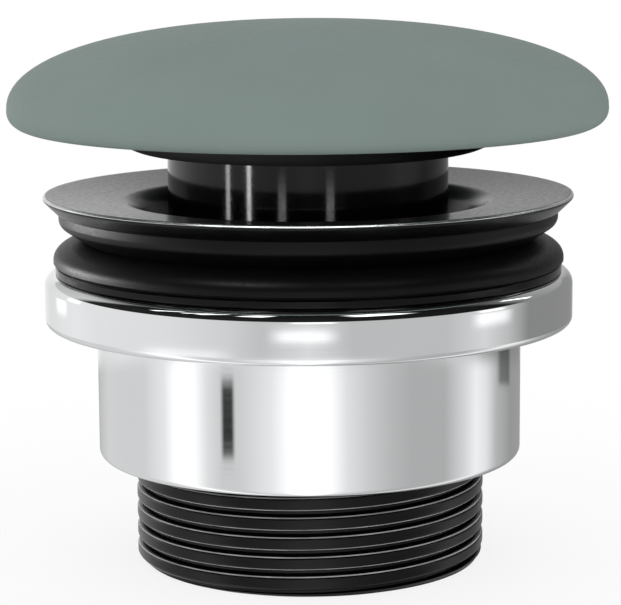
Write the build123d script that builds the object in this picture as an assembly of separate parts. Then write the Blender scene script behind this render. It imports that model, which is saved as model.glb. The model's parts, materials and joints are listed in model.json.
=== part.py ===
from build123d import *
import os
from math import cos, pi, radians, sin

# Basin waste with a press-to-open ceramic cap, G 1 1/4 tail thread.
# Millimetres, +Z up, z = 0 at the lower end of the tail, all turned about Z.
# The cap is in its raised, open place and the two seals are together.

# Thread of the tail and of the flange's tube, G 1 1/4
THREAD_D = 41.91
THREAD_CHAMFER = 0.85
THREAD_PLAY = 0.12

# Tail piece and its cup
TAIL_LENGTH = 12.8
TAIL_WALL = 3.2
CUP_INSET = 0.3
CUP_FLOOR = 1.6
CUP_WALL = 2.5

# Chrome collar and sleeve
SHELL_PLAY = 0.1
SLEEVE_WALL = 1.7
SLEEVE_LENGTH = 16.0
SLEEVE_EDGE = 0.8
COLLAR_D = 63.0
COLLAR_HEIGHT = 6.1
COLLAR_LOWER_EDGE = 0.8
COLLAR_UPPER_EDGE = 1.4
COLLAR_LEDGE = 1.9

# Rubber seals and the slip ring
SLIP_RING_D = 60.4
SLIP_RING_HEIGHT = 1.0
LOWER_SEAL_D = 60.8
LOWER_SEAL_HEIGHT = 2.9
LOWER_SEAL_CROWN = 2.2
LOWER_SEAL_FOOT = 0.35
SHOULDER_JOINTS = (35.0,)
SEAL_NECK_D = 53.6
SEAL_GAP = 0.1
SEAL_PLAY = 0.2
UPPER_SEAL_D = 59.4
UPPER_SEAL_HEIGHT = 3.4
UPPER_SEAL_BAND = 1.5
UPPER_SEAL_EDGE = 1.0

# Flange body
FLANGE_D = 63.0
FLANGE_HEIGHT = 1.9
RIM_EDGE = 0.45
RIM_UNDERCUT = 1.5
RIM_BEVEL = 0.6
DISH_DROP = 0.9
THROAT_D = 41.4
THROAT_EDGE = 2.5
FUNNEL_DEPTH = 6.6
NECK_WALL = 1.6
NECK_HEIGHT = 5.5
TUBE_WALL = 2.75
TUBE_END_GAP = 0.2
HUB_WALL = 2.6
HUB_INSET = 1.2
HUB_HEIGHT = 4.0
ARM_WIDTH = 2.4
ARM_COUNT = 4

# Stopper: cap, seal and stem
OPEN_GAP = 5.0
CLOSED_PLAY = 0.1
CAP_SEAL_D = 45.8
CAP_SEAL_HEIGHT = 2.7
CAP_SEAL_FLAT = 1.8
BOWL_JOINTS = (35.0,)
BEAD_DEPTH = 1.0
BEAD_HEIGHT = 0.9
BEAD_PLAY = 0.1
CAP_D = 71.0
CAP_CROWN = 10.1
CROWN_FULLNESS = 2.2
CAP_EDGE_HEIGHT = 2.5
CAP_EDGE_WIDTH = 3.9
EDGE_FULLNESS = 2.4
CROWN_JOINTS = (53.85, 21.44)
EDGE_JOINTS = (56.0,)
STEM_D = 33.4
STEM_WALL = 1.5
STEM_ROOF = 2.2
STEM_REACH = 3.2
INSERT_D = 18.0
INSERT_HEIGHT = 5.5
INSERT_PLAY = 0.1
NUT_FLATS = 13.0
NUT_HEIGHT = 4.0
STUD_PLAY = 0.1
STUD_DEPTH = 4.8

# Click cartridge
ROD_D = 8.0
ROD_PLAY = 0.1
DRUM_WALL = 2.4
DRUM_END_WALL = 1.5
DRUM_END_PLAY = 0.1
GROOVE_DEPTH = 1.4
OVERTRAVEL = 1.0
TRACK_SWEEP = 76.0
TRACK_LATCH = 14.0
FOOT_D = 12.6
FOOT_HEIGHT = 1.6
CLIP_D = 11.6
CLIP_HEIGHT = 0.8
CLIP_GROOVE = 0.5
CLIP_MOUTH = 6.4
CLIP_PLAY = 0.05
PIN_D = 2.0
PIN_PLAY = 0.2
PIN_TIP_PLAY = 0.15
PIN_HOLE_PLAY = 0.02
HOUSING_D = 20.0
HOUSING_PLAY = 0.15
SPIGOT_WALL = 1.8
SPIGOT_PLAY = 0.1
CARTRIDGE_NUT_FLATS = 21.0
CARTRIDGE_NUT_HEIGHT = 4.0
NUT_CLEARANCE = 0.5
GUIDE_FLANGE = 1.8
GUIDE_PLUG = 1.6
ROD_SEAL_WIDTH = 1.3
ROD_SEAL_HEIGHT = 1.5
ROD_SEAL_PLAY = 0.05
BASE_HEIGHT = 3.0
BASE_PLAY = 0.05
BASE_BOSS_D = 8.4
BASE_BOSS_HEIGHT = 1.6
DRAIN_D = 4.0
SPRING_D = 10.9
SPRING_WIRE_WIDTH = 0.9
SPRING_WIRE_HEIGHT = 0.7
SPRING_TURNS = 5
SPRING_SOLID = 5.0
SPRING_END_PLAY = 0.05

# Radii of the tail, the cup and the shell
THREAD_R = THREAD_D / 2
TAIL_BORE_R = THREAD_R - TAIL_WALL
CUP_BORE_R = THREAD_R + THREAD_PLAY
CUP_R = CUP_BORE_R + CUP_WALL
SHELL_BORE_R = CUP_R + SHELL_PLAY
SLEEVE_R = SHELL_BORE_R + SLEEVE_WALL

# Heights of the lower unit
Z_SLEEVE = TAIL_LENGTH
Z_CUP_BOTTOM = Z_SLEEVE + CUP_INSET
Z_CUP_FLOOR = Z_CUP_BOTTOM + CUP_FLOOR
Z_COLLAR = Z_SLEEVE + SLEEVE_LENGTH
Z_COLLAR_TOP = Z_COLLAR + COLLAR_HEIGHT
Z_LEDGE = Z_COLLAR_TOP - COLLAR_LEDGE
Z_SLIP_TOP = Z_COLLAR_TOP + SLIP_RING_HEIGHT
Z_LOWER_SEAL_TOP = Z_SLIP_TOP + LOWER_SEAL_HEIGHT

# Heights and radii of the flange body
Z_UPPER_SEAL = Z_LOWER_SEAL_TOP + SEAL_GAP
Z_FLANGE = Z_UPPER_SEAL + UPPER_SEAL_HEIGHT
Z_RIM = Z_FLANGE + FLANGE_HEIGHT
Z_THROAT = Z_RIM - DISH_DROP
Z_TUBE_END = Z_CUP_FLOOR + TUBE_END_GAP
THROAT_R = THROAT_D / 2
NECK_R = THROAT_R + NECK_WALL
SEAL_BORE_R = NECK_R + SEAL_PLAY
TUBE_BORE_R = THREAD_R - TUBE_WALL

# Heights of the stopper and its travel from open to closed
Z_CAP_SEAL = Z_RIM + OPEN_GAP
Z_CAP = Z_CAP_SEAL + CAP_SEAL_HEIGHT
STEM_R = STEM_D / 2
Z_ROOF = Z_CAP - STEM_ROOF
Z_NUT = Z_ROOF - NUT_HEIGHT
CLOSE_TRAVEL = Z_CAP_SEAL - Z_THROAT - CLOSED_PLAY
STUD_R = ROD_D / 2 + STUD_PLAY

# Radii of the cartridge, from the rod outwards
ROD_R = ROD_D / 2
DRUM_BORE_R = ROD_R + ROD_PLAY
DRUM_R = DRUM_BORE_R + DRUM_WALL
PIN_TIP_R = DRUM_R - GROOVE_DEPTH + PIN_TIP_PLAY
HOUSING_BORE_R = DRUM_R + HOUSING_PLAY
HOUSING_R = HOUSING_D / 2
SPIGOT_R = HOUSING_BORE_R + SPIGOT_WALL
HUB_BORE_R = SPIGOT_R + SPIGOT_PLAY
HUB_R = HUB_BORE_R + HUB_WALL
SLOT_WIDTH = PIN_D + PIN_PLAY

# Heights of the cartridge, hung from the closed stopper
TRACK_DEPTH = CLOSE_TRAVEL + OVERTRAVEL
Z_GUIDE_TOP = Z_NUT - CLOSE_TRAVEL - NUT_CLEARANCE
Z_HOUSING_TOP = Z_GUIDE_TOP - GUIDE_FLANGE
Z_PLUG_END = Z_HOUSING_TOP - GUIDE_PLUG
Z_CLIP = Z_PLUG_END - DRUM_END_PLAY - CLIP_HEIGHT
Z_DRUM_TOP = Z_CLIP - DRUM_END_PLAY
Z_TRACK_TOP = Z_DRUM_TOP - DRUM_END_WALL - SLOT_WIDTH / 2
Z_PIN = Z_TRACK_TOP - TRACK_DEPTH
Z_DRUM = Z_PIN - SLOT_WIDTH / 2 - DRUM_END_WALL
Z_FOOT_TOP = Z_DRUM - DRUM_END_PLAY
Z_FOOT = Z_FOOT_TOP - FOOT_HEIGHT
Z_BASE_TOP = Z_FOOT - TRACK_DEPTH - SPRING_SOLID
Z_SPIGOT = Z_BASE_TOP - BASE_HEIGHT
Z_HUB = Z_TUBE_END + HUB_INSET
Z_HUB_TOP = Z_HUB + HUB_HEIGHT
Z_CARTRIDGE_NUT = Z_HUB - CARTRIDGE_NUT_HEIGHT


def turned(*outline):
    """Revolve an outline of (radius, height) corners, a third value rounds the corner."""
    face = make_face(Polyline(*[corner[:2] for corner in outline], close=True))
    for corner in outline:
        if len(corner) == 3:
            vertex = face.vertices().sort_by_distance((corner[0], corner[1], 0))[0]
            face = fillet(vertex, corner[2])
    return revolve(Plane.XZ * face, axis=Axis.Z)


def oval(middle, width, rise, joints, fullness=2):
    """Arcs in line from an oval's top or foot out to its widest point, met at the joints.

    A rise below zero gives the lower quarter, a fullness over 2 squares the oval's shoulder.
    """
    points = []
    for angle in (90, *joints, 0):
        across = width * abs(cos(radians(angle))) ** (2 / fullness)
        along = rise * abs(sin(radians(angle))) ** (2 / fullness)
        points.append((middle[0] + across, middle[1] + along))
    points[0] = (middle[0], middle[1] + rise)
    arcs = []
    heading = (1, 0)
    for start, end in zip(points, points[1:]):
        arcs.append(TangentArc(start, end, tangent=heading))
        heading = arcs[-1] % 1
    return arcs


def ring(inner, outer, low, high):
    """Plain ring between two radii and two heights."""
    return turned((inner, low), (outer, low), (outer, high), (inner, high))


def hex_nut(flats, bore, low, height):
    """Hexagon nut with a plain bore."""
    outline = RegularPolygon(flats / 2, 6, major_radius=False) - Circle(bore)
    return Pos(0, 0, low) * extrude(outline, height)


def tail_piece():
    """Black tail with the outlet thread below and the cup for the flange's tube above."""
    return turned(
        (TAIL_BORE_R, 0),
        (THREAD_R - THREAD_CHAMFER, 0),
        (THREAD_R, THREAD_CHAMFER),
        (THREAD_R, Z_CUP_BOTTOM),
        (CUP_R, Z_CUP_BOTTOM),
        (CUP_R, Z_LEDGE),
        (CUP_BORE_R, Z_LEDGE),
        (CUP_BORE_R, Z_CUP_FLOOR),
        (TAIL_BORE_R, Z_CUP_FLOOR),
    )


def collar_sleeve():
    """Chrome shell, its inner ledge sits on the cup and carries the seal's pressure."""
    collar_r = COLLAR_D / 2
    return turned(
        (SHELL_BORE_R, Z_SLEEVE),
        (SLEEVE_R, Z_SLEEVE, SLEEVE_EDGE),
        (SLEEVE_R, Z_COLLAR),
        (collar_r, Z_COLLAR, COLLAR_LOWER_EDGE),
        (collar_r, Z_COLLAR_TOP, COLLAR_UPPER_EDGE),
        (SEAL_BORE_R, Z_COLLAR_TOP),
        (SEAL_BORE_R, Z_LEDGE),
        (SHELL_BORE_R, Z_LEDGE),
    )


def slip_ring():
    """Thin band that lets the collar turn under the lower seal."""
    return ring(SEAL_BORE_R, SLIP_RING_D / 2, Z_COLLAR_TOP, Z_SLIP_TOP)


def lower_seal():
    """Rubber ring with a domed shoulder, pressed up against the basin."""
    outer = LOWER_SEAL_D / 2
    neck = SEAL_NECK_D / 2
    z_side = Z_LOWER_SEAL_TOP - LOWER_SEAL_CROWN
    shoulder = oval((neck, z_side), outer - neck, LOWER_SEAL_CROWN, SHOULDER_JOINTS)
    rest = Polyline(
        (neck, Z_LOWER_SEAL_TOP),
        (SEAL_BORE_R, Z_LOWER_SEAL_TOP),
        (SEAL_BORE_R, Z_SLIP_TOP),
        (outer - LOWER_SEAL_FOOT, Z_SLIP_TOP),
        (outer, Z_SLIP_TOP + LOWER_SEAL_FOOT),
        (outer, z_side),
    )
    return revolve(Plane.XZ * make_face(shoulder + list(rest.edges())), axis=Axis.Z)


def upper_seal():
    """Rubber cone under the flange, pressed down into the basin's drain hole."""
    outer = UPPER_SEAL_D / 2
    return turned(
        (SEAL_BORE_R, Z_UPPER_SEAL),
        (SEAL_NECK_D / 2, Z_UPPER_SEAL),
        (outer, Z_FLANGE - UPPER_SEAL_BAND, UPPER_SEAL_EDGE),
        (outer, Z_FLANGE),
        (SEAL_BORE_R, Z_FLANGE),
    )


def flange_body():
    """Black dish flange with its threaded tube and the spider that holds the cartridge."""
    rim_r = FLANGE_D / 2
    z_edge = Z_RIM - RIM_EDGE
    seat_r = rim_r - RIM_UNDERCUT
    z_neck = Z_FLANGE - NECK_HEIGHT
    body = turned(
        (TUBE_BORE_R, Z_TUBE_END),
        (THREAD_R - THREAD_CHAMFER, Z_TUBE_END),
        (THREAD_R, Z_TUBE_END + THREAD_CHAMFER),
        (THREAD_R, z_neck),
        (NECK_R, z_neck),
        (NECK_R, Z_FLANGE),
        (seat_r, Z_FLANGE),
        (rim_r, z_edge),
        (rim_r, Z_RIM),
        (rim_r - RIM_BEVEL, Z_RIM),
        (THROAT_R, Z_THROAT, THROAT_EDGE),
        (TUBE_BORE_R, Z_THROAT - FUNNEL_DEPTH),
    )
    span = TUBE_BORE_R + TUBE_WALL / 2 - HUB_R + HUB_WALL / 2
    middle = HUB_R - HUB_WALL / 2 + span / 2
    arm = Pos(middle, 0, Z_HUB + HUB_HEIGHT / 2) * Box(span, ARM_WIDTH, HUB_HEIGHT)
    spider = ring(HUB_BORE_R, HUB_R, Z_HUB, Z_HUB_TOP)
    for turn in range(ARM_COUNT):
        spider += Rot(0, 0, (turn + 0.5) * 360 / ARM_COUNT) * arm
    return body + spider


def ceramic_cap():
    """Domed ceramic cap with a pocket for the threaded insert."""
    cap_r = CAP_D / 2
    z_edge = Z_CAP + CAP_EDGE_HEIGHT
    pocket_r = INSERT_D / 2 + INSERT_PLAY
    z_pocket = Z_CAP + INSERT_HEIGHT + INSERT_PLAY
    flat_r = cap_r - CAP_EDGE_WIDTH
    crown = oval((0, z_edge), cap_r, CAP_CROWN, CROWN_JOINTS, CROWN_FULLNESS)
    edge = oval((flat_r, z_edge), CAP_EDGE_WIDTH, -CAP_EDGE_HEIGHT, EDGE_JOINTS, EDGE_FULLNESS)
    rest = Polyline(
        (0, z_edge + CAP_CROWN),
        (0, z_pocket),
        (pocket_r, z_pocket),
        (pocket_r, Z_CAP),
        (flat_r, Z_CAP),
    )
    return revolve(Plane.XZ * make_face(crown + edge + list(rest.edges())), axis=Axis.Z)


def cap_insert():
    """Brass bush bonded into the cap, it takes the rod's threaded end."""
    z_top = Z_CAP + INSERT_HEIGHT
    z_stud = Z_CAP + STUD_DEPTH + STUD_PLAY
    return turned(
        (STUD_R, Z_CAP),
        (INSERT_D / 2, Z_CAP),
        (INSERT_D / 2, z_top),
        (0, z_top),
        (0, z_stud),
        (STUD_R, z_stud),
    )


def cap_seal():
    """Rubber saucer round the stem's head, held by a bead in the stem's groove."""
    outer = CAP_SEAL_D / 2
    inner = STEM_R + BEAD_PLAY
    flat_r = inner + CAP_SEAL_FLAT
    bead_r = inner - BEAD_DEPTH
    z_bead = Z_CAP_SEAL + (CAP_SEAL_HEIGHT - BEAD_HEIGHT) / 2
    bowl = oval((flat_r, Z_CAP), outer - flat_r, -CAP_SEAL_HEIGHT, BOWL_JOINTS)
    rest = Polyline(
        (outer, Z_CAP),
        (inner, Z_CAP),
        (inner, z_bead + BEAD_HEIGHT),
        (bead_r, z_bead + BEAD_HEIGHT),
        (bead_r, z_bead),
        (inner, z_bead),
        (inner, Z_CAP_SEAL),
        (flat_r, Z_CAP_SEAL),
    )
    return revolve(Plane.XZ * make_face(bowl + list(rest.edges())), axis=Axis.Z)


def stopper_stem():
    """Black bell that carries the cap, its skirt hides the cartridge."""
    groove_r = STEM_R - BEAD_DEPTH
    z_groove = Z_CAP_SEAL + (CAP_SEAL_HEIGHT - BEAD_HEIGHT) / 2 - BEAD_PLAY
    z_groove_top = z_groove + BEAD_HEIGHT + 2 * BEAD_PLAY
    z_low = Z_RIM - STEM_REACH
    return turned(
        (STUD_R, Z_ROOF),
        (STEM_R - STEM_WALL, Z_ROOF),
        (STEM_R - STEM_WALL, z_low),
        (STEM_R, z_low),
        (STEM_R, z_groove),
        (groove_r, z_groove),
        (groove_r, z_groove_top),
        (STEM_R, z_groove_top),
        (STEM_R, Z_CAP),
        (STUD_R, Z_CAP),
    )


def lock_nut():
    """Nut that locks the stem on the rod."""
    return hex_nut(NUT_FLATS, STUD_R, Z_NUT, NUT_HEIGHT)


def click_plunger():
    """Rod with its threaded head, its clip groove and its foot on the spring."""
    clip_r = ROD_R - CLIP_GROOVE
    z_head = Z_CAP + STUD_DEPTH
    return turned(
        (0, Z_FOOT),
        (FOOT_D / 2, Z_FOOT),
        (FOOT_D / 2, Z_FOOT_TOP),
        (ROD_R, Z_FOOT_TOP),
        (ROD_R, Z_CLIP),
        (clip_r, Z_CLIP),
        (clip_r, Z_CLIP + CLIP_HEIGHT),
        (ROD_R, Z_CLIP + CLIP_HEIGHT),
        (ROD_R, z_head),
        (0, z_head),
    )


def drum_clip():
    """Open clip in the rod's groove, it drives the drum down with the rod."""
    outline = Circle(CLIP_D / 2) - Circle(ROD_R - CLIP_GROOVE + CLIP_PLAY)
    outline -= Pos(CLIP_D / 2, 0) * Rectangle(CLIP_D, CLIP_MOUTH)
    return Pos(0, 0, Z_CLIP + CLIP_PLAY) * extrude(outline, CLIP_HEIGHT - 2 * CLIP_PLAY)


def guide_pins():
    """Two pins pressed into the housing's wall, their tips run in the drum's track."""
    length = HOUSING_R - PIN_TIP_R
    pin = Pos(PIN_TIP_R + length / 2, 0, Z_PIN) * Rot(0, 90, 0) * Cylinder(PIN_D / 2, length)
    return pin + Rot(0, 0, 180) * pin


def track_leg(lefthand):
    """Sloping leg of the drum's track, from the open point up to a turning point."""
    lead = TRACK_DEPTH * 360 / TRACK_SWEEP
    path = Helix(lead, TRACK_DEPTH, DRUM_R, center=(0, 0, Z_PIN), lefthand=lefthand)
    section = Plane(origin=path @ 0, x_dir=(1, 0, 0), z_dir=path % 0)
    return sweep(section * Rectangle(2 * GROOVE_DEPTH, SLOT_WIDTH), path, is_frenet=True)


def track_point(angle, height):
    """Round pocket of the drum's track at one of its turning points."""
    pocket = Rot(0, 90, 0) * Cylinder(SLOT_WIDTH / 2, 2 * GROOVE_DEPTH)
    return Rot(0, 0, angle) * Pos(DRUM_R, 0, height) * pocket


def cam_drum():
    """Drum that turns on the rod, the heart-shaped click track runs twice round it."""
    drum = ring(DRUM_BORE_R, DRUM_R, Z_DRUM, Z_DRUM_TOP)
    for half in (0, 180):
        drum -= Rot(0, 0, half) * track_leg(False)
        drum -= Rot(0, 0, half) * track_leg(True)
        drum -= track_point(half, Z_PIN)
        drum -= track_point(half + TRACK_SWEEP, Z_TRACK_TOP)
        drum -= track_point(half + TRACK_SWEEP + TRACK_LATCH, Z_TRACK_TOP - OVERTRAVEL)
        drum -= track_point(half - TRACK_SWEEP, Z_TRACK_TOP)
    return drum


def cartridge_housing():
    """Housing of the click mechanism, its shoulder stands on the spider's hub."""
    housing = turned(
        (HOUSING_BORE_R, Z_SPIGOT),
        (SPIGOT_R, Z_SPIGOT),
        (SPIGOT_R, Z_HUB_TOP),
        (HOUSING_R, Z_HUB_TOP),
        (HOUSING_R, Z_HOUSING_TOP),
        (HOUSING_BORE_R, Z_HOUSING_TOP),
    )
    hole = Rot(0, 90, 0) * Cylinder(PIN_D / 2 + PIN_HOLE_PLAY, 3 * HOUSING_R)
    return housing - Pos(0, 0, Z_PIN) * hole


def guide_cap():
    """Cap of the housing with the rod's guide and the groove of the rod's seal."""
    z_groove = Z_HOUSING_TOP - ROD_SEAL_HEIGHT / 2
    groove_r = ROD_R + ROD_PLAY + ROD_SEAL_WIDTH
    cap = turned(
        (ROD_R + ROD_PLAY, Z_PLUG_END),
        (HOUSING_BORE_R - BASE_PLAY, Z_PLUG_END),
        (HOUSING_BORE_R - BASE_PLAY, Z_HOUSING_TOP),
        (HOUSING_R, Z_HOUSING_TOP),
        (HOUSING_R, Z_GUIDE_TOP),
        (ROD_R + ROD_PLAY, Z_GUIDE_TOP),
    )
    return cap - ring(ROD_R, groove_r, z_groove, z_groove + ROD_SEAL_HEIGHT)


def rod_seal():
    """Square rubber ring on the rod."""
    z_low = Z_HOUSING_TOP - ROD_SEAL_HEIGHT / 2 + ROD_SEAL_PLAY
    z_high = z_low + ROD_SEAL_HEIGHT - 2 * ROD_SEAL_PLAY
    inner = ROD_R + ROD_SEAL_PLAY
    return ring(inner, ROD_R + ROD_PLAY + ROD_SEAL_WIDTH - ROD_SEAL_PLAY, z_low, z_high)


def cartridge_base():
    """Plug in the housing's lower end, it seats and centres the spring."""
    return turned(
        (DRAIN_D / 2, Z_SPIGOT),
        (HOUSING_BORE_R - BASE_PLAY, Z_SPIGOT),
        (HOUSING_BORE_R - BASE_PLAY, Z_BASE_TOP),
        (BASE_BOSS_D / 2, Z_BASE_TOP),
        (BASE_BOSS_D / 2, Z_BASE_TOP + BASE_BOSS_HEIGHT),
        (DRAIN_D / 2, Z_BASE_TOP + BASE_BOSS_HEIGHT),
    )


def cartridge_nut():
    """Nut under the hub that holds the cartridge in the spider."""
    return hex_nut(CARTRIDGE_NUT_FLATS, HUB_BORE_R, Z_CARTRIDGE_NUT, CARTRIDGE_NUT_HEIGHT)


def return_spring():
    """Flat-wire spring between the base and the plunger's foot."""
    end = SPRING_WIRE_HEIGHT / 2 + SPRING_END_PLAY
    height = Z_FOOT - Z_BASE_TOP - 2 * end
    radius = (SPRING_D - SPRING_WIRE_WIDTH) / 2
    path = Helix(height / SPRING_TURNS, height, radius, center=(0, 0, Z_BASE_TOP + end))
    section = Plane(origin=path @ 0, x_dir=(1, 0, 0), z_dir=path % 0)
    return sweep(section * Rectangle(SPRING_WIRE_WIDTH, SPRING_WIRE_HEIGHT), path, is_frenet=True)


PIECES = (
    tail_piece,
    collar_sleeve,
    slip_ring,
    lower_seal,
    upper_seal,
    flange_body,
    ceramic_cap,
    cap_insert,
    cap_seal,
    stopper_stem,
    lock_nut,
    click_plunger,
    drum_clip,
    cam_drum,
    guide_pins,
    cartridge_housing,
    guide_cap,
    rod_seal,
    cartridge_base,
    cartridge_nut,
    return_spring,
)

os.makedirs("parts", exist_ok=True)
for piece in PIECES:
    export_step(piece(), f"parts/{piece.__name__}.step")

# Travel of the cap and turn of the cam, for the joints
print("close travel mm", CLOSE_TRAVEL)
print("cam turn deg per mm", TRACK_SWEEP / TRACK_DEPTH)
print("cam turn rad per m", TRACK_SWEEP * pi / 180 / TRACK_DEPTH * 1000)
print("thread travel mm", Z_LEDGE - Z_TUBE_END)
print("spring seat z", Z_BASE_TOP, "hub z", Z_HUB, "tube end z", Z_TUBE_END)
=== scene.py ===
"""Basin waste with a press-to-open ceramic cap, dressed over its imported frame."""
import json
from math import copysign, cos, hypot, pi, radians, sin
from typing import NamedTuple

import bmesh
import bpy
from mathutils import Matrix, Vector

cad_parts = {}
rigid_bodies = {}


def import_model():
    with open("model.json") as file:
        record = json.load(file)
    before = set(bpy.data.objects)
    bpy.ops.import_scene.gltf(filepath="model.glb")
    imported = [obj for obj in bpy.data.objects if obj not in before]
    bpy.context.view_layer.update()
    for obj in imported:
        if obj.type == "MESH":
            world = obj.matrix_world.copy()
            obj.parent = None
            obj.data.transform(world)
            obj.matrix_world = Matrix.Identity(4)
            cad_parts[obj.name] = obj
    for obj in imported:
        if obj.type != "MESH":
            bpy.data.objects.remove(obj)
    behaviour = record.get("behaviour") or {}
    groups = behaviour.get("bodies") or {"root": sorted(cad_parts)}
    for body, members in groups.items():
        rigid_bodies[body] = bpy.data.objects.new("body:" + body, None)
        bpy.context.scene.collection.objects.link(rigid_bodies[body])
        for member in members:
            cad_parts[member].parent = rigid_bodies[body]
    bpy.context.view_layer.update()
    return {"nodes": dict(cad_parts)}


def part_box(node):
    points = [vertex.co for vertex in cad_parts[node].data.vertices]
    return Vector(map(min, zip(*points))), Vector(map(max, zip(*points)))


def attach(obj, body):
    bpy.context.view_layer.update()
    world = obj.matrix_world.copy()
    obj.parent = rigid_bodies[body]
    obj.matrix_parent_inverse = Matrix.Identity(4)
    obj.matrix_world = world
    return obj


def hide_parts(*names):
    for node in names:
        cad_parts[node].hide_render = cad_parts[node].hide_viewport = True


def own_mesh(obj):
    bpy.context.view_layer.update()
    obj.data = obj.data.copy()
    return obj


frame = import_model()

bl_info = {
    "name": "Basin waste",
    "version": (1, 0, 0),
    "blender": (4, 5, 0),
    "location": "View3D > Sidebar > Waste",
    "description": "Builds the pieces, finishes and studio of a click basin waste",
    "category": "Add Mesh",
}

MM = 0.001
IMAGE_WIDTH = 621

# How finely curves are drawn
SPIN_STEPS = 192
OVAL_STEPS = 28
ROUND_STEPS = 5
ARM_STEPS = 2
THREAD_STEPS = 144
ROUND_PROFILE = 0.5
SHARP_ANGLE = radians(32)
MERGE_DISTANCE = 0.0005 * MM

# Modifier weight at which the largest faces alone set the normals beside them
FLATS_FIRST = 100

# Values that a noise pattern mostly keeps between, and its finer layers
NOISE_LOW = 0.3
NOISE_HIGH = 0.7
CLOUD_DETAIL = 3.0
GRAIN_DETAIL = 2.0

WHITE = (1, 1, 1, 1)
NEAR_CLIP = 10 * MM


class Span(NamedTuple):
    """Outer radius and the lowest and highest points of a turned node."""

    radius: float
    low: float
    high: float


class Corner(NamedTuple):
    """Corner of a turned outline, rounded if it has a rounding."""

    radius: float
    height: float
    rounding: float = 0.0


class Oval(NamedTuple):
    """Part of an oval in a turned outline, round its middle, angles in degrees from outwards."""

    radius: float
    height: float
    width: float
    rise: float
    first: float
    last: float
    fullness: float = 2.0


def span(node):
    """Span of a turned node of the frame."""
    low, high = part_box(node)
    return Span(high[0], low[2], high[2])


def number(name, description, value, **options):
    """Property for a plain number."""
    return bpy.props.FloatProperty(name=name, description=description, default=value, **options)


def length(name, description, millimetres):
    """Property for a size of the object, given in millimetres and kept in metres."""
    return number(name, description, millimetres * MM, unit="LENGTH", subtype="DISTANCE", precision=5)


def linear(hex_colour):
    """Linear RGBA from an sRGB hex colour."""
    shares = [int(hex_colour[place:place + 2], 16) / 255 for place in (1, 3, 5)]
    rgb = [s / 12.92 if s <= 0.04045 else ((s + 0.055) / 1.055) ** 2.4 for s in shares]
    return (*rgb, 1.0)


def colour(name, description, hex_colour):
    """Property for a colour, given as an sRGB hex value and kept linear."""
    return bpy.props.FloatVectorProperty(
        name=name,
        description=description,
        default=linear(hex_colour),
        size=4,
        min=0.0,
        max=1.0,
        subtype="COLOR",
    )


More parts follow.
